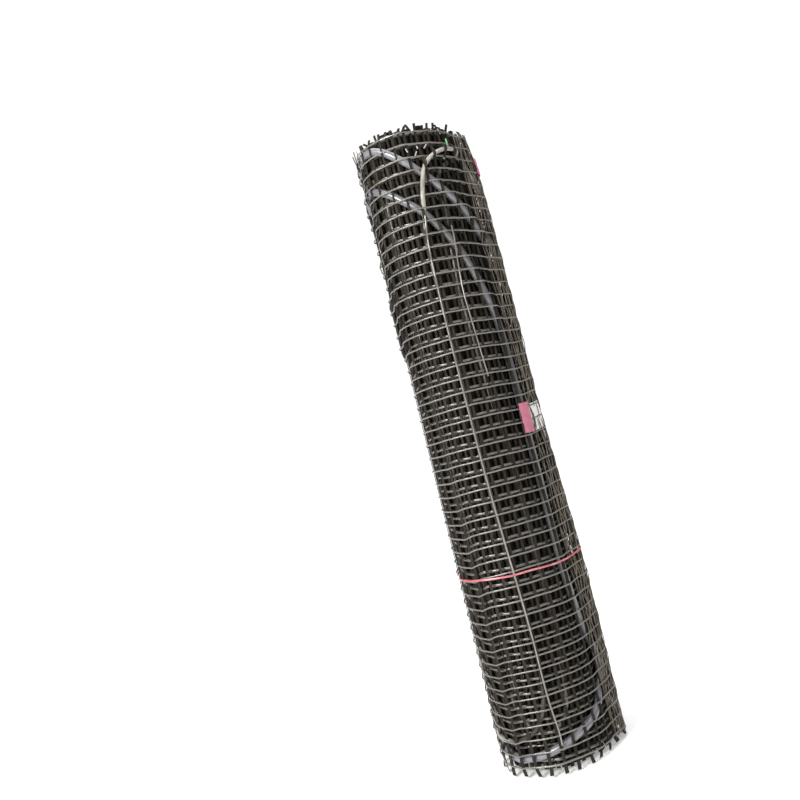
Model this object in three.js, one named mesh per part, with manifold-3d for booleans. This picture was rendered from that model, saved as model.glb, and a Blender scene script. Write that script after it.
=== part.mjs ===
// An underfloor heating mat, rolled up and stood on its end.
// Millimetres, +Z up along the roll, origin at the middle of the end that it stands on.
// Angles go round the roll in degrees: 0 faces -Y, 90 faces +X.
import * as THREE from "three";
import { mergeVertices } from "three/addons/utils/BufferGeometryUtils.js";
import Module from "manifold-3d";

// The mat, wound up
const matWidth = 500;
const matLength = 2000;
const rollRadius = 47;
const boreRadius = 16.5;
const turnGrooveWidth = 1.3;
const turnGrooveDepth = 3;
const roundSegments = 40;

// The cables, and how deep they press into the outer turns
const fitGap = 0.3;
const heaterDiameter = 3.5;
const heaterProud = 0.4;
const heaterSides = 8;
const heaterSteps = 150;
const leadDiameter = 6.3;
const leadProud = 2.6;
const leadSides = 8;
const leadSteps = 104;
const coreDiameter = 1.8;
const coreLengths = [24, 20, 26];
const coreSpacing = 2.15;

// The tie band round the roll
const bandWidth = 3;
const bandThickness = 0.8;
const bandHeight = 148;

// The label folded over the cold lead, and the bit of marker tape near the top
const labelThickness = 0.4;
const labelBottom = 246;
const labelHeight = 25;
const labelStart = 48;
const labelArc = 36;
const tapeThickness = 0.4;
const tapeBelowTop = 26;
const tapeHeight = 14;
const tapeStart = 86;
const tapeArc = 11;

// The heating cable on the outer turn: straight runs along the roll, joined by U-turns
const runAngles = [167, 80, -3, -92];
const turnCentreIn = 62;
const turnReach = 35;
const spliceBottom = 330;
const spliceLength = 45;
const spliceDiameter = 7.6;
const spliceEndDiameter = 5;
const spliceTaper = 7;
const spliceProud = 3.4;

// The cold lead's route as [angle, height], from the splice to its stripped end
const leadRoute = [
  [-92, 375.3], [-93, 400], [-94, 425], [-90, 447], [-79, 461], [-65, 463], [-52, 460],
  [-39, 455], [-27, 448], [-15, 439], [-3, 430], [7, 420], [17, 409], [28, 394], [37, 378],
  [45, 361], [52, 345], [56, 325], [57, 300], [57, 270], [56, 240], [56, 210], [55, 180],
  [54, 150], [56, 122], [61, 95], [65, 70], [64, 53], [55, 43], [41, 36], [28, 30],
  [16, 25], [3, 20], [-11, 16.5], [-25, 15], [-38, 15], [-52, 18], [-68, 23], [-86, 31],
  [-103, 45], [-117, 66], [-127, 94], [-133, 130], [-136, 175], [-138, 225], [-139, 275],
  [-138, 325], [-136, 372], [-132, 412], [-124, 446], [-111, 471], [-94, 484], [-74, 489],
  [-54, 490], [-40, 489], [-27, 484], [-16, 477], [-6, 470], [5, 462], [14, 455], [23, 447],
  [33, 439], [44, 430], [54, 420], [66, 409], [80, 396], [94, 383], [107, 369], [118, 351],
  [126, 329], [131, 305], [133, 280],
];
// Where the lead passes over the heating cable, as [angle, height], and how far each way that takes
const crossings = [[-3, 430], [5, 462], [80, 396]];
const crossingReach = 26;
const crossingRise = 2.2;
const crossingSlack = 1;

const turnCentreLow = turnCentreIn;
const turnCentreHigh = matWidth - turnCentreIn;
const turnPitch = (Math.PI * (rollRadius ** 2 - boreRadius ** 2)) / matLength;
const heaterCentre = rollRadius + heaterProud - heaterDiameter / 2;
const leadCentre = rollRadius + leadProud - leadDiameter / 2;
const crossingDip =
  heaterCentre - leadCentre - crossingRise + (heaterDiameter + leadDiameter) / 2 + crossingSlack;

const tapeBottom = matWidth - tapeBelowTop - tapeHeight;
const fullTurn = 360;

const wasm = await Module();
wasm.setup();

function material(color, roughness, metalness = 0) {
  return new THREE.MeshStandardMaterial({ color, roughness, metalness });
}

// A point at an angle round the roll, a height and a distance from its axis.
function onRoll(angle, height, radius) {
  const turned = THREE.MathUtils.degToRad(angle);
  return new THREE.Vector3(radius * Math.sin(turned), -radius * Math.cos(turned), height);
}

// 1 where the two cables cross, falling smoothly to 0 at the reach of a crossing.
function crossingAt(angle, height) {
  let most = 0;
  for (const [crossAngle, crossHeight] of crossings) {
    const along = THREE.MathUtils.degToRad(angle - crossAngle) * rollRadius;
    const away = Math.hypot(along, height - crossHeight) / crossingReach;
    if (away < 1) most = Math.max(most, 0.5 + 0.5 * Math.cos(Math.PI * away));
  }
  return most;
}

// A closed round tube along a curve.
function tube(curve, diameter, sides, steps) {
  const section = new THREE.Shape();
  section.absarc(0, 0, diameter / 2, 0, 2 * Math.PI);
  return new THREE.ExtrudeGeometry(section, {
    steps,
    curveSegments: sides / 2,
    extrudePath: curve,
    bevelEnabled: false,
  });
}

function curveThrough(route, radiusAt) {
  const points = route.map(([angle, height]) => onRoll(angle, height, radiusAt(angle, height)));
  return new THREE.CatmullRomCurve3(points, false, "centripetal");
}

// Half an ellipse from one run to the next, upwards for a turn at the top and downwards at the bottom.
function uTurn(fromAngle, toAngle, centre, rise) {
  const points = [];
  const stops = 8;
  for (let i = 0; i <= stops; i++) {
    const swing = (Math.PI * i) / stops;
    const angle = (fromAngle + toAngle) / 2 + ((fromAngle - toAngle) / 2) * Math.cos(swing);
    points.push([angle, centre + rise * Math.sin(swing)]);
  }
  return points;
}

// A straight run between the U-turns, without its two ends.
const runStep = 8;
function run(angle, fromHeight, toHeight) {
  const stops = Math.round(Math.abs(toHeight - fromHeight) / runStep);
  const points = [];
  for (let i = 1; i < stops; i++) {
    points.push([angle, THREE.MathUtils.lerp(fromHeight, toHeight, i / stops)]);
  }
  return points;
}

function heaterRoute() {
  const [back, right, front, left] = runAngles;
  return [
    [back, turnCentreHigh],
    ...run(back, turnCentreHigh, turnCentreLow),
    ...uTurn(back, right, turnCentreLow, -turnReach),
    ...run(right, turnCentreLow, turnCentreHigh),
    ...uTurn(right, front, turnCentreHigh, turnReach),
    ...run(front, turnCentreHigh, turnCentreLow),
    ...uTurn(front, left, turnCentreLow, -turnReach),
    ...run(left, turnCentreLow, spliceBottom - fitGap),
    [left, spliceBottom - fitGap],
  ];
}

const heaterCurve = curveThrough(
  heaterRoute(),
  (angle, height) => heaterCentre - crossingDip * crossingAt(angle, height),
);
const leadCurve = curveThrough(
  leadRoute,
  (angle, height) => leadCentre + crossingRise * crossingAt(angle, height),
);

function solid(geometry) {
  const bare = geometry.index ? geometry.toNonIndexed() : geometry.clone();
  bare.deleteAttribute("normal");
  bare.deleteAttribute("uv");
  const merged = mergeVertices(bare, 1e-4);
  return new wasm.Manifold(
    new wasm.Mesh({
      numProp: 3,
      vertProperties: new Float32Array(merged.attributes.position.array),
      triVerts: new Uint32Array(merged.index.array),
    }),
  );
}

function geometryOf(manifold) {
  const mesh = manifold.getMesh();
  const geometry = new THREE.BufferGeometry();
  geometry.setAttribute("position", new THREE.BufferAttribute(mesh.vertProperties, 3));
  geometry.setIndex(new THREE.BufferAttribute(mesh.triVerts, 1));
  geometry.computeVertexNormals();
  return geometry;
}

// A straight round piece along the roll, from a list of [diameter, height] pairs.
function straightPiece(outline, angle, radius, sides) {
  const profile = outline.map(([diameter, height]) => new THREE.Vector2(diameter / 2, height));
  profile.unshift(new THREE.Vector2(0, outline[0][1]));
  profile.push(new THREE.Vector2(0, outline.at(-1)[1]));
  const place = onRoll(angle, 0, radius);
  return new THREE.LatheGeometry(profile, sides).rotateX(Math.PI / 2).translate(place.x, place.y, 0);
}

function splice(grow = 0) {
  const top = spliceBottom + spliceLength;
  return straightPiece(
    [
      [spliceEndDiameter + 2 * grow, spliceBottom - grow],
      [spliceDiameter + 2 * grow, spliceBottom + spliceTaper],
      [spliceDiameter + 2 * grow, top - spliceTaper],
      [spliceEndDiameter + 2 * grow, top + grow],
    ],
    runAngles.at(-1),
    rollRadius + spliceProud - spliceDiameter / 2,
    leadSides,
  );
}

// One of the three stripped wires at the end of the cold lead, side by side across it.
function leadCore(index, grow = 0) {
  const [endAngle, endHeight] = leadRoute.at(-1);
  const sideways = THREE.MathUtils.radToDeg(((index - 1) * coreSpacing) / leadCentre);
  const diameter = coreDiameter + 2 * grow;
  const top = endHeight - fitGap + grow;
  const bottom = endHeight - fitGap - coreLengths[index] - grow;
  return straightPiece([[diameter, bottom], [diameter, top]], endAngle + sideways, leadCentre, heaterSides);
}

// What goes round the roll lies on its outer turn, and bridges straight over the cold lead.
const wrapRadius = rollRadius + heaterProud + fitGap;
const bridge = Math.acos((wrapRadius - leadDiameter / 2 - fitGap) / (leadCentre + fitGap));
function wrapRadiusAt(angle, leadAngles) {
  const away = Math.min(
    ...leadAngles.map((lead) => {
      const turned = THREE.MathUtils.euclideanModulo(angle - lead + fullTurn / 2, fullTurn) - fullTurn / 2;
      return Math.abs(THREE.MathUtils.degToRad(turned));
    }),
  );
  return wrapRadius / Math.cos(Math.max(0, bridge - away));
}

// The angles at which the cold lead passes a height.
function leadAnglesAt(height) {
  const angles = [];
  for (let i = 1; i < leadRoute.length; i++) {
    const [fromAngle, from] = leadRoute[i - 1];
    const [toAngle, to] = leadRoute[i];
    if ((from - height) * (to - height) <= 0 && from !== to) {
      angles.push(THREE.MathUtils.lerp(fromAngle, toAngle, (height - from) / (to - from)));
    }
  }
  return angles;
}

const wrapStep = 4;
function wrapPoints(from, to, extra, leadAngles) {
  const stops = Math.round((to - from) / wrapStep);
  const points = [];
  for (let i = 0; i <= stops; i++) {
    const angle = THREE.MathUtils.lerp(from, to, i / stops);
    const point = onRoll(angle, 0, wrapRadiusAt(angle, leadAngles) + extra);
    points.push(new THREE.Vector2(point.x, point.y));
  }
  return points;
}

function tieBand() {
  const leadAngles = leadAnglesAt(bandHeight + bandWidth / 2);
  const ring = new THREE.Shape(wrapPoints(0, fullTurn - wrapStep, bandThickness, leadAngles));
  ring.holes.push(new THREE.Path(wrapPoints(0, fullTurn - wrapStep, 0, leadAngles)));
  return new THREE.ExtrudeGeometry(ring, { depth: bandWidth, bevelEnabled: false }).translate(
    0,
    0,
    bandHeight,
  );
}

function patch(from, arc, bottom, height, thickness) {
  const to = from + arc;
  const leadAngles = leadAnglesAt(bottom + height / 2);
  const outline = [
    ...wrapPoints(from, to, 0, leadAngles),
    ...wrapPoints(from, to, thickness, leadAngles).reverse(),
  ];
  return new THREE.ExtrudeGeometry(new THREE.Shape(outline), {
    depth: height,
    bevelEnabled: false,
  }).translate(0, 0, bottom);
}

// The roll's outline in section, with a groove between each turn and the next at both ends.
function rollProfile() {
  const turns = Math.round((rollRadius - boreRadius) / turnPitch);
  const pitch = (rollRadius - boreRadius) / turns;
  const lowEnd = [new THREE.Vector2(boreRadius, 0)];
  const highEnd = [new THREE.Vector2(boreRadius, matWidth)];
  for (let i = 1; i < turns; i++) {
    const middle = boreRadius + i * pitch;
    const half = turnGrooveWidth / 2;
    for (const [radius, depth] of [[middle - half, 0], [middle, turnGrooveDepth], [middle + half, 0]]) {
      lowEnd.push(new THREE.Vector2(radius, depth));
      highEnd.push(new THREE.Vector2(radius, matWidth - depth));
    }
  }
  lowEnd.push(new THREE.Vector2(rollRadius, 0));
  highEnd.push(new THREE.Vector2(rollRadius, matWidth));
  return [...lowEnd, ...highEnd.reverse(), lowEnd[0].clone()];
}

function rolledMat() {
  const turned = new THREE.LatheGeometry(rollProfile(), roundSegments);
  turned.rotateX(Math.PI / 2);
  const beds = [
    tube(heaterCurve, heaterDiameter + 2 * fitGap, heaterSides, heaterSteps),
    tube(leadCurve, leadDiameter + 2 * fitGap, leadSides, leadSteps),
    splice(fitGap),
    ...coreLengths.map((_, index) => leadCore(index, fitGap)),
  ];
  return geometryOf(beds.reduce((roll, bed) => roll.subtract(solid(bed)), solid(turned)));
}

const mat = new THREE.Group();
function add(name, geometry, finish) {
  const mesh = new THREE.Mesh(geometry, finish);
  mesh.name = name;
  mat.add(mesh);
  return mesh;
}

add("rolled_mat", rolledMat(), material(0x2b2420, 0.7));
add("heating_cable", tube(heaterCurve, heaterDiameter, heaterSides, heaterSteps), material(0x8d877a, 0.5));
add("cold_lead", tube(leadCurve, leadDiameter, leadSides, leadSteps), material(0x3b3f45, 0.45));

add("cable_splice", splice(), material(0x1b1b1d, 0.4));
const coreNames = ["lead_core_brown", "lead_core_earth", "lead_core_blue"];
const coreColours = [0x5a2f18, 0x7fae3a, 0x2c59a8];
coreNames.forEach((name, index) => add(name, leadCore(index), material(coreColours[index], 0.5)));
add("tie_band", tieBand(), material(0xc8435a, 0.4));
add("lead_label", patch(labelStart, labelArc, labelBottom, labelHeight, labelThickness), material(0xe9dfe4, 0.5));
add("marker_tape", patch(tapeStart, tapeArc, tapeBottom, tapeHeight, tapeThickness), material(0xd26a95, 0.5));

// The cables stand out unevenly, so the whole is centred on its own outline.
const middle = new THREE.Box3().setFromObject(mat).getCenter(new THREE.Vector3());
mat.position.set(-middle.x, -middle.y, 0);

export default mat;
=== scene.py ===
"""Underfloor heating mat, rolled up: the threads, cables and ties that show, wound round the part."""
import math

import bmesh
import bpy
import numpy as np
from mathutils import Matrix, Vector


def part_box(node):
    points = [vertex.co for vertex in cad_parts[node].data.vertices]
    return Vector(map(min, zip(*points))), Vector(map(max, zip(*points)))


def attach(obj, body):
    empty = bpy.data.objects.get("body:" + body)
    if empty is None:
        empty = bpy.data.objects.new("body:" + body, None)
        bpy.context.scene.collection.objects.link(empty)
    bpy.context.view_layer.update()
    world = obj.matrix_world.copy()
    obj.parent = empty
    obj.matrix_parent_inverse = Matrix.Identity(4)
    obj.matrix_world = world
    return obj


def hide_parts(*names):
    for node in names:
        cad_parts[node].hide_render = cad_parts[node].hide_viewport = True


bl_info = {
    "name": "Rolled heating mat",
    "version": (1, 0, 0),
    "blender": (4, 0, 0),
    "location": "View3D > Sidebar > Heating mat",
    "description": "Builds a rolled-up underfloor heating mat piece by piece",
    "category": "Object",
}

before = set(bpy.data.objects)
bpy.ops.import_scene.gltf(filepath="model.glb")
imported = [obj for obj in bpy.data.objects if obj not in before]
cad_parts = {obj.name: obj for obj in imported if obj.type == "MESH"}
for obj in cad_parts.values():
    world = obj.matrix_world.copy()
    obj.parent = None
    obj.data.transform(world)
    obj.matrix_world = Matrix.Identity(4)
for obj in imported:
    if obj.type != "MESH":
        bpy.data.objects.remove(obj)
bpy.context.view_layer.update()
ROLL_LOW, ROLL_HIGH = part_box("rolled_mat")

# Millimetres in the tables below, metres in the properties
MM = 0.001
AXIS_X = (ROLL_LOW.x + ROLL_HIGH.x) / 2 / MM
AXIS_Y = (ROLL_LOW.y + ROLL_HIGH.y) / 2 / MM
HEIGHT = (ROLL_HIGH.z - ROLL_LOW.z) / MM

# The outer turn's section: angle from the front, and how far it stands off the mean radius
SECTION_ANGLES = np.array([-180, -135, -100, -75, -50, -30, -8, 15, 35, 60, 85, 110, 140, 180])
SECTION_OFFSETS = np.array(
    [-0.1, 0, -2.45, -2.5, 2.7, 2.55, 1.9, -1.7, -2.7, -2.9, 5.2, 0.1, -0.1, -0.1]
)
MEAN_RADIUS = 47.65
# How much wider the roll is at its head than at half its height
TAPER = -2.4
LEFT_RIDGE = (-38, 0.5, 4)
FRONT_RIDGE = (-4.5, 0.8, 4)
# How far the right-hand side is drawn in, from the foot up
WAIST_ANGLE = 92
WAIST_HEIGHTS = (0, 20, 45, 90, 130, 175, 245, 272, 290, 330, 400, 450, 475, 492, 500)
WAIST_DEPTHS = (2.6, 3.3, 2.6, 0.9, 0.1, 0.6, 2.1, 2.4, 1.7, 0.8, 0.4, 0.0, 1.4, 3.2, 3.6)

# How the cross threads' spacing wanders from end to end
UNEVEN_HEIGHTS = [8, 60, 111, 173, 235, 317, 369, 410, 441, 470, 482, 492]
UNEVEN_RISES = [1.0, 0, -2.0, 1.2, 1.1, 0.1, -1.4, -0.7, -0.4, -0.3, 0.3, 0.1]
# Where the inner turns stand proud, and where the right-hand side sweeps up
PROUD_HEIGHTS = [0, 100, 200, 290, 350, 430, 500]
SWEEP_HEIGHTS = [0, 25, 60, 120, 173, 230, 280, 400]

# How far each turn lies under the outer one, from the turn before the first
TURN_DROPS = np.array([-3, 0, 4, 7.1, 10.2, 13.3, 16.4, 19.5, 22.6, 25.7, 28.8, 31.9, 35])
# Where the mat's free edge lies at the hidden back, how far in from it the first tape is, and
# how many turns get the finer threads
FREE_EDGE = 15
TAPE_START = 1.5
FINE_TURNS = 2

# The cold lead's way over the roll: angle and height
LEAD_ROUTE = [
    (-92, 375.3), (-93, 400), (-94, 425), (-90, 447), (-79, 461), (-65, 463), (-52, 460),
    (-39, 455), (-27, 448), (-15, 439), (-3, 430), (7, 420), (17, 409), (28, 394), (37, 378),
    (45, 361), (52, 345), (56, 325), (57, 300), (57, 270), (56, 240), (56, 210), (55, 180),
    (54, 150), (57, 122), (64, 95), (71, 72), (71, 54), (63, 43), (51, 34), (35, 27.5), (19, 23),
    (4, 19), (-10, 15.5), (-24, 13), (-38, 12.5), (-52, 14), (-68, 19), (-86, 29), (-103, 45),
    (-117, 66), (-127, 94), (-133, 130), (-136, 175), (-138, 225), (-139, 275), (-138, 325),
    (-136, 372), (-132, 412), (-124, 446), (-111, 471), (-94, 484), (-74, 489), (-54, 490),
    (-40, 489), (-27, 484), (-16, 477), (-6, 470), (5, 462), (14, 455), (23, 447), (33, 439),
    (44, 430), (54, 420), (66, 409), (80, 396), (94, 383), (107, 369), (118, 351), (126, 329),
    (131, 305), (133, 280),
]
# How far from the roll's axis the lead's centre lies, and how far the threads stand off it
LEAD_CENTRE = 46.45
LEAD_REACH = 3.9
LEAD_SPREAD = 5.5

# The heating cable's runs up and down the outer turn, and its U-turns
TOP_TURN = [
    (-4.5, 405), (-2, 420), (1, 432), (3, 442), (6, 452), (10, 461), (15, 467), (21, 471),
    (28, 474), (36, 476), (47, 477), (58, 477), (66, 474), (71, 468), (74, 460), (77, 448),
    (79, 436), (80, 420),
]
CABLE_ROUTE = (
    [(167, 438), (167, 380), (167, 300), (167, 200), (167, 120), (166, 75), (160, 50), (148, 34)]
    + [(124, 28), (100, 34), (87, 50), (81, 75), (80, 120), (80, 200), (80, 300), (80, 380)]
    + TOP_TURN[::-1]
    + [(-5, 380), (-5, 300), (-5, 200), (-3, 170), (-1, 110), (-2, 70), (-8, 48), (-20, 33)]
    + [(-36, 28), (-50, 28), (-66, 29), (-82, 34), (-90, 48), (-92, 75), (-92, 120), (-92, 200)]
    + [(-92, 300), (-92, 329.7)]
)
# The thread that lies bare along the front ridge
RIDGE_THREAD = [
    (0, 424), (-3, 405), (-4.5, 380), (-5.5, 330), (-5.5, 270), (-5, 220), (-3.5, 175), (-2, 140),
    (-1, 105), (-1, 60), (1, 32), (1, 21),
]

# The rovings that have come loose at the right
STRAY_ANGLES = (61, 98)
STRAY_COUNT = 17
STRAY_LENGTH = 490
STRAY_STEPS = 120

# The cable's runs on the turns inside, and how the first two of them wander from foot to head
RUN_FOOT = 62.0
RUN_HEAD = 438.0
RUN_SPACING = 69
LAST_RUN = 1880
U_TURN_REACH = 35
SECOND_TURN_FRONT = 540
SECOND_TURN_RUNS = (20, -36)
RUN_HEIGHTS = [60, 98, 124, 155, 180, 193, 276, 296, 362, 422, 464]
RUN_ANGLES = (
    [20.5, 23.5, 26, 26.8, 26.3, 26, 21.5, 20.5, 17.5, 24, 38],
    [-31, -32, -35, -37, -40, -40, -40, -40, -40, -40, -40],
)


def smooth_step(value):
    value = np.clip(value, 0, 1)
    return value * value * (3 - 2 * value)


def closed_curve(angles, values, at):
    """A smooth curve through the knots that doesn't overshoot between them."""
    slopes = np.diff(values) / np.diff(angles)
    tangents = np.zeros(len(values))
    same_way = slopes[:-1] * slopes[1:] > 0
    before = slopes[:-1][same_way]
    after = slopes[1:][same_way]
    tangents[1:-1][same_way] = 2 * before * after / (before + after)
    place = np.clip(np.searchsorted(angles, at, side="right") - 1, 0, len(angles) - 2)
    span = (angles[1:] - angles[:-1])[place]
    share = (at - angles[place]) / span
    rise = values[place + 1] - values[place]
    start = tangents[place] * span
    end = tangents[place + 1] * span
    return (
        values[place]
        + share * start
        + share**2 * (3 * rise - 2 * start - end)
        + share**3 * (start + end - 2 * rise)
    )


def bump(away, height, width):
    return height * np.exp(-((away / width) ** 2))


def turn_and_angle(wound):
    """Which turn a point lies on, and its angle from the front, from how far it is wound in."""
    turn = np.floor(wound / 360)
    return turn, 180 - (wound - 360 * turn)


def drop(wound):
    """How far the spiral has gone in: each turn steps under the next at the hidden back."""
    turns = wound / 360
    nearest = np.round(turns)
    step = smooth_step((turns - nearest) * 3.6 + 0.5)
    before = np.interp(nearest - 1, np.arange(-1, len(TURN_DROPS) - 1), TURN_DROPS)
    after = np.interp(nearest, np.arange(-1, len(TURN_DROPS) - 1), TURN_DROPS)
    return before + (after - before) * step


def section(turn, angle):
    """The roll isn't round: how far a turn stands off the mean radius, less so further in."""
    outer = closed_curve(SECTION_ANGLES, SECTION_OFFSETS, angle)
    outer = outer + bump(angle - LEFT_RIDGE[0], LEFT_RIDGE[1], LEFT_RIDGE[2])
    outer = outer + bump(angle - FRONT_RIDGE[0], FRONT_RIDGE[1], FRONT_RIDGE[2])
    close = bump(angle - 88, -2.0, 24) * np.minimum(np.maximum(turn, 0), 1)
    return outer * 0.86 ** np.maximum(turn, 0) + close


def bare_radius(wound, height):
    """The mat's radius before the cables push it about."""
    turn, angle = turn_and_angle(wound)
    lean = TAPER * (height - 250) / 250 * 0.9 ** np.maximum(turn, 0)
    waist = np.interp(height, WAIST_HEIGHTS, WAIST_DEPTHS) * bump(angle - WAIST_ANGLE, 1, 34)
    waist = waist * np.where(turn < 1, 1, 0.45)
    return MEAN_RADIUS - drop(wound) + section(turn, angle) + lean - waist


def dense(route, step=3.0):
    """Points a few millimetres apart on a smooth line through a route of angles and heights."""
    knots = np.array(route, float)
    ends = np.vstack((2 * knots[0] - knots[1], knots, 2 * knots[-1] - knots[-2]))
    found = []
    for first, start, end, last in zip(ends[:-3], ends[1:-2], ends[2:-1], ends[3:]):
        gap = math.hypot(math.radians(end[0] - start[0]) * MEAN_RADIUS, end[1] - start[1])
        share = np.arange(0, 1, step / max(gap, step))[:, None]
        found.append(
            0.5
            * (
                2 * start
                + (end - first) * share
                + (2 * first - 5 * start + 4 * end - last) * share**2
                + (3 * start - first - 3 * end + last) * share**3
            )
        )
    return np.vstack(found + [knots[-1:]])


class Nearness:
    """How near each place on the roll is to a cable, looked up on a grid of angles and heights."""

    def __init__(self, route):
        points = dense(route)
        angles = np.arange(-180, 181, 1.0)
        heights = np.arange(-20, 521, 2.0)
        angles, heights = np.meshgrid(angles, heights, indexing="ij")
        nearest = np.full(angles.shape, 1e9)
        for angle, height in points:
            across = (angles - angle + 180) % 360 - 180
            away = (np.radians(across) * MEAN_RADIUS) ** 2 + (heights - height) ** 2
            nearest = np.minimum(nearest, away)
        self.away = np.sqrt(nearest)

    def at(self, angle, height):
        row = np.clip((angle + 180), 0, 359.999)
        column = np.clip((height + 20) / 2, 0, 269.999)
        low_row = row.astype(int)
        low_column = column.astype(int)
        row_share = row - low_row
        column_share = column - low_column
        low, high = (
            self.away[corner, low_column] * (1 - column_share)
            + self.away[corner, low_column + 1] * column_share
            for corner in (low_row, low_row + 1)
        )
        return low * (1 - row_share) + high * row_share


near_lead = Nearness(LEAD_ROUTE)
near_top_turn = Nearness(TOP_TURN[1:13])
near_tape_crossings = Nearness(TOP_TURN[4:12])
near_splice = Nearness([(-92, 334), (-92, 371)])


def lead_radius(angle, height):
    """Where the lead's centre lies: on the second turn, pressing the outer threads out a little."""
    wound = 180 - angle
    surface = bare_radius(wound, height)
    return np.clip(surface - 3.0, LEAD_CENTRE - 4.4, LEAD_CENTRE + 1.2)


def surface_radius(wound, height):
    """The mat's radius with the cables pushing the outer turn out and the inner ones in."""
    turn, angle = turn_and_angle(wound)
    bare = bare_radius(wound, height)
    lead = lead_radius(angle, height)
    lift = np.maximum(lead + LEAD_REACH - bare, 0)
    dent = np.maximum(bare - (lead - LEAD_REACH), 0)
    close = near_lead.at(angle, height)
    outer = bare + lift * np.exp(-((close / LEAD_SPREAD) ** 2))
    outer = outer + 3.2 * np.exp(-((near_splice.at(angle, height) / 6.5) ** 2))
    pressed = np.minimum(dent, 3.6) * np.exp(-((close / LEAD_SPREAD) ** 2))
    inner = bare - pressed * 0.8 ** np.maximum(turn - 1, 0)
    return np.where(turn < 1, outer, inner)


def lift_off_floor(turn, angle, height):
    """The mat's cross threads don't run quite level, and the inner turns stand a little proud."""
    way = np.radians(angle)
    warp = (
        -0.52 * np.sin(way)
        + 1.97 * (np.cos(way) - 0.6)
        + 0.59 * np.sin(math.pi * height / HEIGHT)
        - 2.02 * np.sin(2 * math.pi * height / HEIGHT)
    )
    proud = np.interp(turn, np.arange(10), [0, 1, 0.6, 1.3, 0.7, 1.4, 0.9, 0.3, 1.1, 0.6])
    proud = proud * np.interp(height, PROUD_HEIGHTS, [1.6, 2.0, 2.5, 3.0, 2.6, 1.5, 1.3])
    left = np.interp(angle, [-150, -90, -38, 0, 180], [0, 1.9, 1.9, 0, 0])
    proud = proud + np.minimum(turn, 1) * left
    sweep = np.interp(angle, [48, 62, 74, 90, 125, 180], [0, 0.6, 2.4, 4.8, 3, 0])
    sweep = sweep * np.interp(height, SWEEP_HEIGHTS, [0, 0.55, 1, 0.85, 0.65, 0.85, 1, 0])
    uneven = np.interp(height, UNEVEN_HEIGHTS, UNEVEN_RISES)
    dip = np.interp(angle, [-62, -38, -30, -8], [0, 1, 0.35, 0])
    dip = dip * np.interp(height, [0, 20, 60, 173, 235, 317], [0.5, 2.6, 3, 3, 0.8, 0])
    edge = np.clip(np.minimum(height, HEIGHT - height) / 8, 0.15, 1)
    return np.maximum(height + (warp + uneven + sweep - dip) * edge + proud, 0)


def around(wound, height, out):
    """Points of the wound-up mat in metres: wound in degrees, height and out in millimetres."""
    turn, angle = turn_and_angle(wound)
    radius = surface_radius(wound, height) + out
    soft_turn = turn + smooth_step((wound / 360 - turn - 0.85) / 0.15)
    way = np.radians(angle)
    x = AXIS_X + radius * np.sin(way)
    y = AXIS_Y - radius * np.cos(way)
    z = lift_off_floor(soft_turn, angle, height)
    return np.stack((x, y, z), axis=1) * MM


# How much of the mat's length, at half its height, is wound up at each degree
WOUND_STEP = 2.0
WOUND_TABLE = np.arange(FREE_EDGE, 360 * 11, WOUND_STEP)
STEP_RADII = bare_radius(WOUND_TABLE[:-1] + WOUND_STEP / 2, np.full(len(WOUND_TABLE) - 1, 250.0))
LENGTH_TABLE = np.concatenate(([0], np.cumsum(np.radians(WOUND_STEP) * STEP_RADII)))


def coordinates(piece):
    flat = np.empty(len(piece.data.vertices) * 3)
    piece.data.vertices.foreach_get("co", flat)
    return flat.reshape(-1, 3)


def put_coordinates(piece, points):
    piece.data.vertices.foreach_set("co", np.ascontiguousarray(points, dtype=np.float32).ravel())
    piece.data.update()


def start_fresh():
    """Nothing is selected, so the next operator acts on the new piece alone."""
    if bpy.context.object and bpy.context.object.mode != "OBJECT":
        bpy.ops.object.mode_set(mode="OBJECT")
    bpy.ops.object.select_all(action="DESELECT")


def named(name):
    piece = bpy.context.object
    piece.name = name
    piece.data.name = name
    return piece


def settle(piece):
    """The piece's place goes into its mesh."""
    bpy.ops.object.transform_apply(location=True, rotation=True, scale=True)
    return piece


def finish_with(piece, kind, **settings):
    modifier = piece.modifiers.new(kind.title(), kind)
    for key, value in settings.items():
        setattr(modifier, key, value)
    bpy.ops.object.modifier_apply(modifier=modifier.name)


def open_ends(piece, axis):
    """Removes the two end faces of a primitive, so that copies join into one long thread."""
    bpy.ops.object.mode_set(mode="EDIT")
    mesh = bmesh.from_edit_mesh(piece.data)
    for face in mesh.faces:
        face.select_set(abs(face.normal[axis]) > 0.9)
    mesh.select_flush_mode()
    bmesh.update_edit_mesh(piece.data)
    bpy.ops.mesh.delete(type="FACE")
    bpy.ops.object.mode_set(mode="OBJECT")


def close_ends():
    bpy.ops.object.mode_set(mode="EDIT")
    bpy.ops.mesh.select_all(action="DESELECT")
    bpy.ops.mesh.select_mode(type="EDGE")
    bpy.ops.mesh.select_non_manifold()
    bpy.ops.mesh.fill_holes(sides=0)
    bpy.ops.mesh.select_all(action="SELECT")
    bpy.ops.mesh.normals_make_consistent(inside=False)
    bpy.ops.object.mode_set(mode="OBJECT")


def face_outwards():
    bpy.ops.object.mode_set(mode="EDIT")
    bpy.ops.mesh.select_all(action="SELECT")
    bpy.ops.mesh.normals_make_consistent(inside=False)
    bpy.ops.object.mode_set(mode="OBJECT")


def repeat(piece, axis, count, pitch, joined=False):
    """Copies of the piece along one axis, joined end to end where they make one thread."""
    offset = [0, 0, 0]
    offset[axis] = pitch
    finish_with(
        piece,
        "ARRAY",
        count=count,
        use_relative_offset=False,
        use_constant_offset=True,
        constant_offset_displace=offset,
        use_merge_vertices=joined,
        merge_threshold=0.01,
    )


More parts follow.
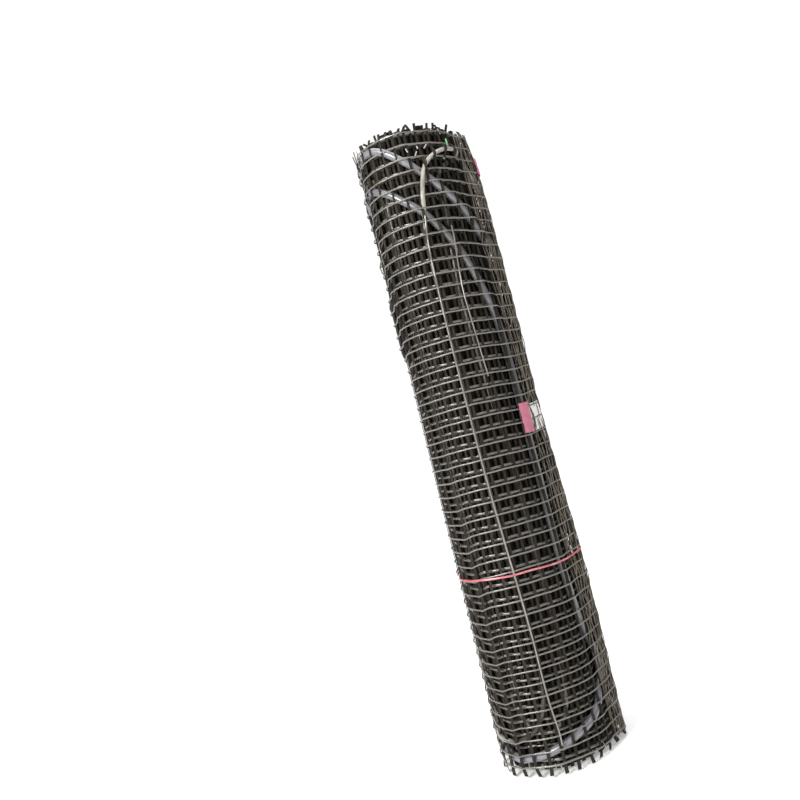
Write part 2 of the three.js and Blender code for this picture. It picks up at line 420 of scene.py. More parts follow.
def straight_thread(name, axis, sides, width, thickness, step, steps, start):
    """One thread of the flat mat: a short length joined to itself again and again, with closed ends."""
    start_fresh()
    turned = (0, math.pi / 2, 0) if axis == 0 else (math.pi / 2, 0, 0)
    bpy.ops.mesh.primitive_cylinder_add(vertices=sides, radius=0.5, depth=1, rotation=turned)
    piece = settle(named(name))
    open_ends(piece, axis)
    points = coordinates(piece)
    points[:, axis] = (points[:, axis] + 0.5) * step
    points[:, 1 - axis] *= width / np.ptp(points[:, 1 - axis])
    points[:, 2] *= thickness / np.ptp(points[:, 2])
    points += start
    put_coordinates(piece, points)
    repeat(piece, axis, steps, step, joined=True)
    close_ends()
    return piece


def smooth(piece, angle=60):
    piece.select_set(True)
    bpy.context.view_layer.objects.active = piece
    bpy.ops.object.shade_smooth_by_angle(angle=math.radians(angle))


def belongs(piece, slot, material, *nodes):
    piece.data.materials.clear()
    piece.data.materials.append(material)
    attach(piece, "root")
    if nodes:
        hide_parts(*nodes)


def wave(place, seeds, lengths):
    """A gentle seeded waviness, the same on each run."""
    total = np.zeros(len(place))
    for number, length in enumerate(lengths):
        total += np.sin(2 * math.pi * (place / length + seeds * (number + 1.7) * 3.1))
    return total / len(lengths)


class Value:
    """A shader socket that can stand in a sum."""

    def __init__(self, finish, socket):
        self.finish = finish
        self.socket = socket

    def __add__(self, other):
        return self.finish.maths("ADD", self, other)

    def __sub__(self, other):
        return self.finish.maths("SUBTRACT", self, other)

    def __mul__(self, other):
        return self.finish.maths("MULTIPLY", self, other)

    def __truediv__(self, other):
        return self.finish.maths("DIVIDE", self, other)

    def __rsub__(self, other):
        return self.finish.maths("SUBTRACT", other, self)

    __radd__ = __add__
    __rmul__ = __mul__


class Finish:
    """A material and its nodes, ending in one Principled shader."""

    def __init__(self, name, **fixed):
        self.material = bpy.data.materials.new(name)
        self.material.use_nodes = True
        self.tree = self.material.node_tree
        self.tree.nodes.clear()
        self.shader = self.node("ShaderNodeBsdfPrincipled")
        self.output = self.node("ShaderNodeOutputMaterial")
        self.tree.links.new(self.shader.outputs[0], self.output.inputs[0])
        for socket, value in fixed.items():
            self.shader.inputs[socket.replace("_", " ")].default_value = value
        self.place = self.out(self.node("ShaderNodeTexCoord"), "Object")

    def node(self, kind, settings=None, inputs=None):
        made = self.tree.nodes.new(kind)
        for key, value in (settings or {}).items():
            setattr(made, key, value)
        for key, value in (inputs or {}).items():
            self.feed(made.inputs[key], value)
        return made

    def feed(self, socket, value):
        if isinstance(value, Value):
            self.tree.links.new(value.socket, socket)
        else:
            socket.default_value = value

    def out(self, node, name=0):
        return Value(self, node.outputs[name])

    def maths(self, operation, first, second=0.0):
        made = self.node("ShaderNodeMath", {"operation": operation}, {0: first, 1: second})
        return self.out(made)

    def noise(self, scale, detail, roughness, stretch=(1, 1, 1)):
        mapped = self.node("ShaderNodeMapping", None, {"Vector": self.place, "Scale": stretch})
        made = self.node(
            "ShaderNodeTexNoise",
            None,
            {"Vector": self.out(mapped), "Scale": scale, "Detail": detail, "Roughness": roughness},
        )
        return self.out(made)

    def ramp(self, value, low, high, start=0.0, end=1.0):
        made = self.node(
            "ShaderNodeMapRange",
            {"clamp": True},
            {"Value": value, "From Min": low, "From Max": high, "To Min": start, "To Max": end},
        )
        return self.out(made)

    def mix(self, share, first, second):
        made = self.node("ShaderNodeMix", {"data_type": "RGBA"}, {0: share, 6: first, 7: second})
        return self.out(made, 2)

    def attribute(self, name):
        return self.out(self.node("ShaderNodeAttribute", {"attribute_name": name}), "Fac")

    def level(self):
        """How high above the floor a point is, in metres."""
        return self.out(self.node("ShaderNodeSeparateXYZ", None, {0: self.place}), 2)

    def wear(self, colour, roughness, height=None, distance=0.0002, strength=0.5):
        """Feeds the colour and roughness, and a fine relief where the finish has one."""
        self.feed(self.shader.inputs["Base Color"], colour)
        self.feed(self.shader.inputs["Roughness"], roughness)
        if height is not None:
            relief = {"Strength": strength, "Distance": distance, "Height": height}
            bumped = self.node("ShaderNodeBump", None, relief)
            self.feed(self.shader.inputs["Normal"], self.out(bumped))
        return self.material


def shade(colour, share):
    return tuple(channel * share for channel in colour[:3]) + (1,)


def thread_finish(sizes, name="coated cross thread", light_share=1.0):
    """Coated glass yarn: cream, with darker soaked stretches and a twist that shows as fine ribs. The
    share passed after the name scales its colour and gloss. Below 1 it is painted shade on the turns
    inside. Above 1 it makes a paler copy for the threads over the cable runs, partly worn and partly
    painted highlight.
    """
    finish = Finish(
        name, Specular_IOR_Level=0.8 * light_share, IOR=1.5, Coat_Roughness=0.3, Coat_Weight=0.9 * light_share
    )
    along = finish.out(finish.node("ShaderNodeCombineXYZ", None, {0: finish.attribute("along")}))
    twist = finish.node(
        "ShaderNodeTexWave",
        {"wave_type": "BANDS", "bands_direction": "X"},
        {"Vector": along, "Scale": 220.0, "Distortion": 0.6},
    )
    patches = finish.noise(60, 5, 0.6)
    fine = finish.noise(900, 3, 0.6)
    soaked = finish.ramp(patches, 0.42, 0.72)
    base = shade(sizes.thread_colour, light_share)
    colour = finish.mix(soaked * 0.55, base, shade(base, 0.5))
    colour = finish.mix(finish.ramp(fine, 0.35, 0.75) * 0.35, colour, shade(base, 0.72))
    height = finish.out(twist) * 0.6 + fine * 0.5
    return finish.wear(colour, finish.ramp(patches, 0.3, 0.7, 0.26, 0.42), height, 0.00012, 0.5)


def tape_finish(sizes, name="coated long tape", pale_share=1.0):
    """Flat coated roving: dark brown resin over fibres that run its length, paler where it is thin."""
    finish = Finish(name, Specular_IOR_Level=0.07, IOR=1.45)
    fibres = finish.noise(900, 4, 0.6, (1, 1, 0.03))
    patches = finish.noise(45, 5, 0.6)
    base = shade(sizes.tape_colour, pale_share)
    pale = shade(sizes.tape_pale, pale_share)
    colour = finish.mix(finish.ramp(fibres, 0.46, 0.78) * 0.75, base, pale)
    colour = finish.mix(finish.ramp(patches, 0.4, 0.75) * 0.6, colour, shade(base, 0.55))
    rough = finish.ramp(fibres, 0.3, 0.7, 0.5, 0.7)
    return finish.wear(colour, rough, fibres + patches * 0.3, 0.00018, 0.6)


def sheath_finish(name, colour, roughness, coat=0.0, dust=0.25, shaded_under_mesh=False, sky_reflection_ends=False):
    """A smooth plastic sheath with faint drawing lines, dust and a slightly uneven gloss. Where asked,
    it also carries painted shade on the stretches that run under the mesh, and a painted highlight and
    sky reflection at the lead's top and bottom.
    """
    finish = Finish(name, Specular_IOR_Level=0.5, IOR=1.48, Coat_Weight=coat, Coat_Roughness=0.25)
    base = shade(colour, 1)
    patches = finish.noise(35, 5, 0.6)
    specks = finish.noise(700, 4, 0.65)
    tint = finish.mix(finish.ramp(patches, 0.35, 0.7) * 0.5, base, shade(base, 0.78))
    tint = finish.mix(finish.ramp(specks, 0.58, 0.8) * dust, tint, (0.62, 0.58, 0.52, 1))
    if shaded_under_mesh:
        # Painted shade: where the cable runs under the mesh, its colour is mixed nearly to black.
        tint = finish.mix(finish.attribute("shaded_under_mesh") * 0.9, tint, (0.018, 0.015, 0.012, 1))
    if sky_reflection_ends:
        # Painted highlight and sky reflection: the sheath above 0.425 m and below 0.06 m is mixed
        # toward a pale bluish grey.
        height = finish.level()
        ends = finish.ramp(height, 0.425, 0.48) + finish.ramp(height, 0.06, 0.03)
        tint = finish.mix(ends * 0.7, tint, (0.23, 0.235, 0.265, 1))
    rough = finish.ramp(patches, 0.3, 0.7, roughness, roughness + 0.14)
    return finish.wear(tint, rough, specks * 0.5 + patches, 0.0001, 0.35)


def band_finish(sizes):
    """A pressed plastic tie: lengthwise draw lines that whiten where it is stretched."""
    finish = Finish("tie band", Specular_IOR_Level=0.6, IOR=1.5, Coat_Weight=0.4, Coat_Roughness=0.18)
    lines = finish.noise(1500, 4, 0.6, (0.06, 0.06, 1))
    stretch = finish.noise(90, 4, 0.6)
    base = tuple(sizes.band_colour) + (1,)
    colour = finish.mix(finish.ramp(lines, 0.42, 0.72) * 0.5, base, (0.78, 0.36, 0.38, 1))
    colour = finish.mix(finish.ramp(stretch, 0.5, 0.78) * 0.5, colour, (0.86, 0.56, 0.56, 1))
    return finish.wear(colour, finish.ramp(stretch, 0.3, 0.7, 0.22, 0.4), lines, 0.00015, 0.6)


def label_finish(name, colour, tint):
    """Printed film with a soft grain, creases and scuffed, slightly soiled edges."""
    finish = Finish(name, Specular_IOR_Level=0.45, IOR=1.48, Coat_Weight=0.15, Coat_Roughness=0.3)
    base = tuple(colour) + (1,)
    grain = finish.noise(1400, 4, 0.7)
    creases = finish.noise(130, 5, 0.6, (1, 1, 0.35))
    soil = finish.noise(60, 5, 0.65)
    shown = finish.mix(finish.ramp(soil, 0.42, 0.75) * 0.4, base, tuple(tint) + (1,))
    shown = finish.mix(finish.ramp(grain, 0.4, 0.8) * 0.2, shown, shade(base, 0.8))
    rough = finish.ramp(creases, 0.3, 0.7, 0.35, 0.55)
    return finish.wear(shown, rough, creases + grain * 0.2, 0.0003, 0.5)


def copper_finish():
    """Bare stranded copper, tarnished a little."""
    finish = Finish("bare copper", Metallic=1.0)
    strands = finish.noise(1300, 3, 0.5, (1, 1, 0.2))
    tarnish = finish.noise(300, 4, 0.6)
    colour = finish.mix(finish.ramp(tarnish, 0.4, 0.7), (0.83, 0.42, 0.24, 1), (0.45, 0.2, 0.12, 1))
    return finish.wear(colour, finish.ramp(tarnish, 0.3, 0.7, 0.28, 0.5), strands, 0.0002, 0.7)


def stage_finish():
    finish = Finish("pale floor", Emission_Color=(1, 1, 1, 1), Emission_Strength=0.3)
    cloud = finish.noise(3, 3, 0.5)
    return finish.wear(
        finish.mix(finish.ramp(cloud, 0.3, 0.7), (0.9, 0.9, 0.9, 1), (0.86, 0.86, 0.86, 1)), 0.9
    )


def tube(name, points, radius, sides=8):
    """A round cable through points in metres: a bevelled curve turned into a closed mesh."""
    start_fresh()
    line = bpy.data.curves.new(name, "CURVE")
    line.dimensions = "3D"
    line.bevel_depth = radius
    line.bevel_resolution = max(sides // 4 - 1, 0)
    line.use_fill_caps = True
    spline = line.splines.new("POLY")
    spline.points.add(len(points) - 1)
    spline.points.foreach_set("co", np.column_stack((points, np.ones(len(points)))).ravel())
    piece = bpy.data.objects.new(name, line)
    bpy.context.scene.collection.objects.link(piece)
    piece.select_set(True)
    bpy.context.view_layer.objects.active = piece
    bpy.ops.object.convert(target="MESH")
    piece = named(name)
    bpy.ops.object.mode_set(mode="EDIT")
    bpy.ops.mesh.select_all(action="SELECT")
    bpy.ops.mesh.remove_doubles(threshold=0.00001)
    bpy.ops.mesh.normals_make_consistent(inside=False)
    bpy.ops.object.mode_set(mode="OBJECT")
    smooth(piece)
    return piece


def on_roll(angle, height, radius):
    """Points in metres at an angle, height and radius, on the outer turn's own warped level."""
    way = np.radians(angle)
    level = lift_off_floor(np.zeros(len(angle)), angle, height)
    return np.stack((AXIS_X + radius * np.sin(way), AXIS_Y - radius * np.cos(way), level), axis=1) * MM


def sheet_on_roll(name, angles, heights, off, thickness, columns, rows):
    """A thin strip laid on the roll: a grid bent round it, then given its thickness."""
    start_fresh()
    bpy.ops.mesh.primitive_grid_add(x_subdivisions=columns, y_subdivisions=rows, size=1)
    piece = named(name)
    flat = coordinates(piece)
    angle = angles[0] + (flat[:, 0] + 0.5) * (angles[1] - angles[0])
    height = heights[0] + (flat[:, 1] + 0.5) * (heights[1] - heights[0])
    radius = surface_radius(180 - angle, height) + off(angle, height)
    put_coordinates(piece, on_roll(angle, height, radius))
    finish_with(piece, "SOLIDIFY", thickness=thickness * MM, offset=1)
    face_outwards()
    smooth(piece, 50)
    return piece


class MatSizes(bpy.types.PropertyGroup):
    seed: bpy.props.IntProperty(
        name="Seed",
        description="Seed of the threads' small wanderings",
        default=7,
    )
    thread_pitch: bpy.props.FloatProperty(
        name="Thread pitch",
        description="Distance between cross threads",
        default=0.010319,
        unit="LENGTH",
    )
    thread_count: bpy.props.IntProperty(
        name="Cross threads",
        description="Cross threads from end to end",
        default=48,
    )
    thread_width: bpy.props.FloatProperty(
        name="Thread width",
        description="Width of a cross thread",
        default=0.0012,
        unit="LENGTH",
    )
    tape_pitch: bpy.props.FloatProperty(
        name="Tape pitch",
        description="Distance between long tapes",
        default=0.0103,
        unit="LENGTH",
    )
    tape_width: bpy.props.FloatProperty(
        name="Tape width", description="Width of a long tape", default=0.0024, unit="LENGTH"
    )
    fringe: bpy.props.FloatProperty(
        name="Fringe",
        description="How far the tapes reach past the last thread",
        default=0.0072,
        unit="LENGTH",
    )
    mat_length: bpy.props.FloatProperty(
        name="Mat length",
        description="Length of the mat before it was rolled",
        default=2.0,
        unit="LENGTH",
    )
    thread_colour: bpy.props.FloatVectorProperty(
        name="Thread colour",
        description="Coated glass yarn",
        default=(0.135, 0.123, 0.104),
        subtype="COLOR",
    )
    tape_colour: bpy.props.FloatVectorProperty(
        name="Tape colour",
        description="Resin over the tapes",
        default=(0.028, 0.0245, 0.02),
        subtype="COLOR",
    )
    tape_pale: bpy.props.FloatVectorProperty(
        name="Tape fibre colour",
        description="Fibres near the surface",
        default=(0.07, 0.062, 0.05),
        subtype="COLOR",
    )


class CableSizes(bpy.types.PropertyGroup):
    cable_width: bpy.props.FloatProperty(
        name="Heating cable",
        description="Diameter of the heating cable",
        default=0.0035,
        unit="LENGTH",
    )
    lead_width: bpy.props.FloatProperty(
        name="Cold lead", description="Diameter of the cold lead", default=0.0063, unit="LENGTH"
    )
    cable_colour: bpy.props.FloatVectorProperty(
        name="Heating cable colour",
        description="Its sheath",
        default=(0.31, 0.29, 0.255),
        subtype="COLOR",
    )
    lead_colour: bpy.props.FloatVectorProperty(
        name="Lead colour",
        description="Its sheath",
        default=(0.09, 0.088, 0.093),
        subtype="COLOR",
    )


class TieSizes(bpy.types.PropertyGroup):
    band_width: bpy.props.FloatProperty(
        name="Band width", description="Width of the tie band", default=0.0014, unit="LENGTH"
    )
    band_colour: bpy.props.FloatVectorProperty(
        name="Band colour",
        description="Pressed plastic tie",
        default=(0.42, 0.06, 0.08),
        subtype="COLOR",
    )
    label_colour: bpy.props.FloatVectorProperty(
        name="Label colour",
        description="The label's coloured end",
        default=(0.5, 0.16, 0.23),
        subtype="COLOR",
    )


def wind_up(piece, length, height, out):
    wound = np.interp(length, LENGTH_TABLE, WOUND_TABLE)
    put_coordinates(piece, around(wound, height, out))


def add_along(piece, values):
    made = piece.data.attributes.new("along", "FLOAT", "POINT")
    made.data.foreach_set("value", np.ascontiguousarray(values, dtype=np.float32))


class HEATMAT_OT_threads(bpy.types.Operator):
    """Lays the cross threads side by side on the flat mat and winds them up."""

    bl_idname = "heatmat.threads"
    bl_label = "Cross threads"

    def execute(self, context):
        sizes = context.scene.mat_sizes
        pitch = sizes.thread_pitch / MM
        width = sizes.thread_width / MM
        tape_pitch = sizes.tape_pitch / MM
        whole = sizes.mat_length / MM
        fine_end = np.interp(360 * FINE_TURNS + 30, WOUND_TABLE, LENGTH_TABLE)
        first = (HEIGHT - pitch * (sizes.thread_count - 1)) / 2
        jobs = (
            ("cross_threads_outer", 6, tape_pitch / 4, 0.0, fine_end, width, thread_finish(sizes)),
            (
                "cross_threads_inner",
                4,
                tape_pitch / 2,
                fine_end,
                whole,
                width * 1.4,
                # Painted shade: the inner turns' threads are a copy at 0.3 of the colour and gloss,
                # darker for the less light that reaches them.
                thread_finish(sizes, "shaded cross thread", 0.3),
            ),
        )
        for number, (name, sides, step, start, end, width, material) in enumerate(jobs):
            steps = int(round((end - start) / step))
            piece = straight_thread(name, 0, sides, width, width * 0.8, step, steps, (start, first, 0))
            repeat(piece, 1, sizes.thread_count, pitch)
            flat = coordinates(piece)
            length, height, out = flat.T
            thread = np.clip(np.round((height - first) / pitch).astype(int), 0, sizes.thread_count - 1)
            seeds = np.random.default_rng(sizes.seed + number).uniform(size=sizes.thread_count)[thread]
            wound = np.interp(length, LENGTH_TABLE, WOUND_TABLE)
            turn, angle = turn_and_angle(wound)
            restless = 0.5 + 0.7 * smooth_step((np.abs(angle) - 50) / 25)
            sag = 0.16 * np.cos(2 * math.pi * length / tape_pitch)
            under = bump(near_top_turn.at(angle, height), 0.5, 4.5) * (turn < 1)
            tight = np.interp(height, [110, 190, 380, 430], [1.8, 0.5, 0.5, 1.4]) * (turn < 1)
            under = under + bump(angle - 92, tight, 11)
            stout = 0.4 * smooth_step((wound - 300) / 40)
            height = height + (height - (first + thread * pitch)) * stout
            height = height + restless * 0.42 * wave(length, seeds, (83, 41, 19))
            out = out + 0.5 + sag + 0.12 * wave(length, 1 - seeds, (47, 23)) - under
            add_along(piece, length * MM)
            wind_up(piece, length, height, out)
            smooth(piece)
            belongs(piece, "mesh", material, "rolled_mat")
        return {"FINISHED"}


class HEATMAT_OT_tapes(bpy.types.Operator):
    """Lays the long tapes under the cross threads, with their ends as a fringe, and winds them up."""

    bl_idname = "heatmat.tapes"
    bl_label = "Long tapes"

    def execute(self, context):
        sizes = context.scene.mat_sizes
        pitch = sizes.tape_pitch / MM
        width = sizes.tape_width / MM
        thread_pitch = sizes.thread_pitch / MM
        whole = sizes.mat_length / MM
        fine_end = np.interp(360 * FINE_TURNS + 30, WOUND_TABLE, LENGTH_TABLE)
        first = (HEIGHT - thread_pitch * (sizes.thread_count - 1)) / 2
        material = tape_finish(sizes)
        # Painted shade: the inner turns' tapes are a copy at 0.38 of the colour, darker for the less
        # light that reaches them.
        shaded_tape = tape_finish(sizes, "shaded long tape", 0.38)
        fine_count = int(fine_end // pitch)
        count = int(whole // pitch)
        jobs = (
            ("long_tapes_outer", 6, thread_pitch / 3, 0, fine_count, width, 0.55, material),
            ("long_tapes_inner", 4, thread_pitch, fine_count, count, width * 2.7, 1.1, shaded_tape),
        )
        for number, (name, sides, step, start, end, width, thickness, material) in enumerate(jobs):
            steps = int(round(HEIGHT / step))
            step = HEIGHT / steps
            corner = (start * pitch + TAPE_START, 0, 0)
            piece = straight_thread(name, 1, sides, width, thickness, step, steps, corner)
            repeat(piece, 0, end - start, pitch)
            flat = coordinates(piece)
            length, height, out = flat.T
            tape = np.clip(np.round((length - TAPE_START) / pitch).astype(int), 0, end) - start
            chance = np.random.default_rng(sizes.seed + 20 + number)
            seeds = chance.uniform(size=end - start + 1)[tape]
            splay = chance.normal(0, 1.6, size=end - start + 1)[tape]
            splay_low = chance.normal(0, 1.8, size=end - start + 1)[tape]
            short = chance.uniform(0, 3.5, size=end - start + 1)[tape]
            lean = chance.normal(0, 1.0, size=end - start + 1)[tape]
            lean_low = chance.normal(0, 0.8, size=end - start + 1)[tape]
            past_top = np.clip((height - (HEIGHT - first)) / first, 0, 1)
            past_foot = np.clip((first - height) / first, 0, 1)
            middle = (tape + start) * pitch + TAPE_START
            slim = 1 + 0.25 * past_foot - 0.1 * past_top
            turn, angle = turn_and_angle(np.interp(length, LENGTH_TABLE, WOUND_TABLE))
            crossed = bump(near_lead.at(angle, height), 0.5, 5) * smooth_step((5 - angle) / 20)
            slim = slim - crossed * (turn < 1) * (height > 250)
            bunched = smooth_step((np.abs(angle) - 42) / 14)
            slim = slim + (0.6 + 1.0 * (turn > 0)) * bunched * (number == 0)
            place = middle + (length - middle) * slim
            place = place + 0.55 * wave(height, seeds, (210, 96, 47))
            place = place + splay * past_top**1.5 + splay_low * past_foot**1.5
            inside = smooth_step((length - LENGTH_TABLE[165]) / 40)
            height = height - short * past_top + (0.6 * short * (1 - inside) + 1.5 * inside) * past_foot
            weave = -0.3 - 0.22 * np.cos(2 * math.pi * (height - first) / thread_pitch)
            wound = np.interp(place, LENGTH_TABLE, WOUND_TABLE)
            turn, angle = turn_and_angle(wound)
            over = bump(near_tape_crossings.at(angle, height), 5.2, 3.8) * (turn < 1)
            out = out + weave + over + lean * past_top**1.5 + lean_low * past_foot**1.5
            wind_up(piece, place, height, out)
            smooth(piece)
            belongs(piece, "mesh", material, "rolled_mat")
        return {"FINISHED"}


class HEATMAT_OT_strays(bpy.types.Operator):
    """Adds the thin rovings that have come loose from the tapes on the right side of the roll."""

    bl_idname = "heatmat.strays"
    bl_label = "Stray rovings"

    def execute(self, context):
        sizes = context.scene.mat_sizes
        wound = [180 - angle for angle in reversed(STRAY_ANGLES)]
        start, end = np.interp(wound, WOUND_TABLE, LENGTH_TABLE)
        pitch = (end - start) / STRAY_COUNT
        step = STRAY_LENGTH / STRAY_STEPS
        corner = (start, (HEIGHT - STRAY_LENGTH) / 2, 0)
        piece = straight_thread("stray_rovings", 1, 5, 0.9, 0.6, step, STRAY_STEPS, corner)
        repeat(piece, 0, STRAY_COUNT, pitch)
        length, height, out = coordinates(piece).T
        strand = np.clip(np.round((length - start) / pitch).astype(int), 0, STRAY_COUNT - 1)
        chance = np.random.default_rng(sizes.seed + 40)
        seeds = chance.uniform(size=STRAY_COUNT)[strand]
        length = length + 2.0 * wave(height, seeds, (230, 110, 53, 29))
        out = out + 0.2 + 0.9 * wave(height, 1 - seeds, (61, 37, 21))
        wind_up(piece, length, height, out)
        smooth(piece)
        belongs(piece, "mesh", tape_finish(sizes, "stray roving", 5.6), "rolled_mat")
        return {"FINISHED"}


class HEATMAT_OT_cables(bpy.types.Operator):
    """Lays the heating cable, its inner runs and the cold lead."""

    bl_idname = "heatmat.cables"
    bl_label = "Cables"

    def execute(self, context):
        sizes = context.scene.cable_sizes
        colour = sizes.cable_colour
        cable_material = sheath_finish("heating cable sheath", colour, 0.36, 0.2, shaded_under_mesh=True)
        # Painted shade: the runs on the turns inside get a copy of the sheath at 0.45 of its colour,
        # for the less light that reaches them.
        shaded_inner_sheath = sheath_finish("shaded inner cable sheath", shade(colour, 0.45), 0.4, 0.1, 0.1)
        # The lead gets the painted highlight and sky reflection at its top and bottom.
        lead_material = sheath_finish("cold lead sheath", sizes.lead_colour, 0.24, 0.9, sky_reflection_ends=True)
        half = sizes.cable_width / MM / 2

        route = dense(CABLE_ROUTE)
        angle, height = route.T
        shown = smooth_step((height - 428) / 10)
        shown = shown * smooth_step((angle + 30) / 20) * smooth_step((66 - angle) / 12)
        radius = surface_radius(180 - angle, height) - 0.8 - half
        raised = bare_radius(180 - angle, height) + half + 0.6
        crossing = bump(near_lead.at(angle, height), 1.6, 6)
        radius = radius * (1 - shown) + (raised + crossing * 0.3) * shown
        radius = radius + 2.2 * bump(angle + 58, 1, 14) * (height < 60)
        cable = tube("heating_cable_outer", on_roll(angle, height, radius), sizes.cable_width / 2)
        points = coordinates(cable) / MM
        side = np.degrees(np.arctan2(points[:, 0] - AXIS_X, -(points[:, 1] - AXIS_Y)))
        # Painted shade: the cable is marked as shaded everywhere except its bare top run and its
        # stretch left of -40 degrees, where it lies on top.
        bare = smooth_step((points[:, 2] - 424) / 8) + smooth_step((-40 - side) / 6)
        shaded_under_mesh = cable.data.attributes.new("shaded_under_mesh", "FLOAT", "POINT")
        shaded_under_mesh.data.foreach_set("value", np.clip(1 - bare, 0, 1).astype(np.float32))
        belongs(cable, "heater_sheath", cable_material, "heating_cable")

        inner = self.inner_runs()
        wound, height = inner.T
        points = around(wound, height, np.full(len(wound), -0.6 - half))
        buried = tube("heating_cable_inner", points, sizes.cable_width / 2)
        belongs(buried, "heater_sheath", shaded_inner_sheath)
        cover_material = tape_finish(context.scene.mat_sizes, "tape over the cable", 0.9)
        for name, middle in zip(("run_cover_right", "run_cover_left"), SECOND_TURN_RUNS):
            over = np.abs(wound - (SECOND_TURN_FRONT - middle)) < 25
            over = over & (height > RUN_FOOT) & (height < 422)
            points = around(wound[over], height[over], np.full(over.sum(), 0.2))
            belongs(tube(name, points, 0.0011), "mesh", cover_material)
        over = np.abs(wound - (SECOND_TURN_FRONT - SECOND_TURN_RUNS[0])) < 25
        over = over & (height > 292) & (height < 415)
        points = around(wound[over] - 360, height[over], np.full(over.sum(), 0.7))
        thread = tube("run_thread", points, 0.0006)
        add_along(thread, coordinates(thread)[:, 2])
        # A paler copy of the thread at 1.25, where it stands proud over the cable run: partly worn,
        # partly painted highlight.
        belongs(thread, "mesh", thread_finish(context.scene.mat_sizes, "run thread", 1.25))

        route = dense(LEAD_ROUTE)
        angle, height = route.T
        radius = lead_radius(angle, height)
        lead = tube("cold_lead_sheath", on_roll(angle, height, radius), sizes.lead_width / 2, 12)
        belongs(lead, "lead_sheath", lead_material, "cold_lead")
        return {"FINISHED"}

    def inner_runs(self):
        """The cable's runs on the turns inside, up and down with U-turns between."""
        runs = [360 + 50] + [SECOND_TURN_FRONT - angle for angle in SECOND_TURN_RUNS] + [360 + 300]
        length = np.interp(runs[-1], WOUND_TABLE, LENGTH_TABLE)
        while length < LAST_RUN:
            runs.append(np.interp(length + RUN_SPACING, LENGTH_TABLE, WOUND_TABLE))
            length = np.interp(runs[-1], WOUND_TABLE, LENGTH_TABLE)
        points = []
        upward = True
        for this, following in zip(runs[:-1], runs[1:]):
            heights = np.arange(RUN_FOOT, RUN_HEAD, 8)
            if not upward:
                heights = heights[::-1]
            wander = np.zeros(len(heights))
            if this in runs[1:3]:
                number = runs.index(this) - 1
                wander = SECOND_TURN_RUNS[number] - np.interp(heights, RUN_HEIGHTS, RUN_ANGLES[number])
            points += list(zip(this + wander, heights))
            middle = (this + following) / 2
            reach = (following - this) / 2
            for share in np.arange(0.08, 1, 0.09):
                swing = math.pi * share
                side = U_TURN_REACH * math.sin(swing)
                height = RUN_HEAD + side if upward else RUN_FOOT - side
                points.append((middle - reach * math.cos(swing), height))
            upward = not upward
        return np.array(points)


